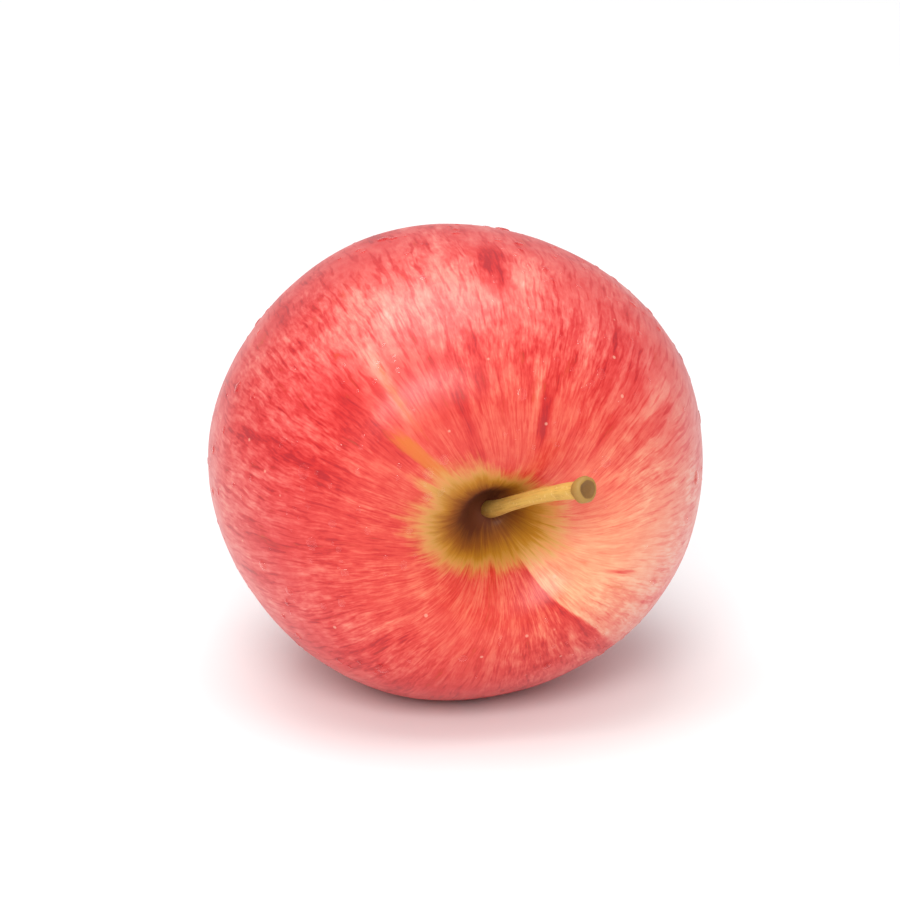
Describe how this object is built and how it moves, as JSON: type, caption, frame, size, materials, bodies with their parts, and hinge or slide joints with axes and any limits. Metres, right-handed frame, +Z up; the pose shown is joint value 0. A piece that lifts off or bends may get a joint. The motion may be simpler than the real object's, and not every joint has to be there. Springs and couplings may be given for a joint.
{
  "type": "apple",
  "caption": "Ripe red-striped apple lying on its side, with a curved stalk in a deep cavity and dried sepals at the blossom end; food to pick up or display.",
  "frame": {"origin": "middle of the small flat spot on the side that the fruit rests on", "axes": "+Z up, away from the surface it lies on; +Y along the core axis from the stalk end to the blossom end; +X to the right, seen from the stalk end"},
  "size_m": [0.07, 0.0718, 0.0662],
  "materials": {
    "fruit": "satin",
    "stem": "matte",
    "sepal_1": "matte",
    "sepal_2": "matte",
    "sepal_3": "matte",
    "sepal_4": "matte",
    "sepal_5": "matte",
    "stamens": "matte"
  },
  "bodies": {
    "root": {"fruit": "fruit", "stem": "stem", "sepal_1": "sepal_1", "sepal_2": "sepal_2", "sepal_3": "sepal_3", "sepal_4": "sepal_4", "sepal_5": "sepal_5", "stamens": "stamens"}
  },
  "joints": []
}
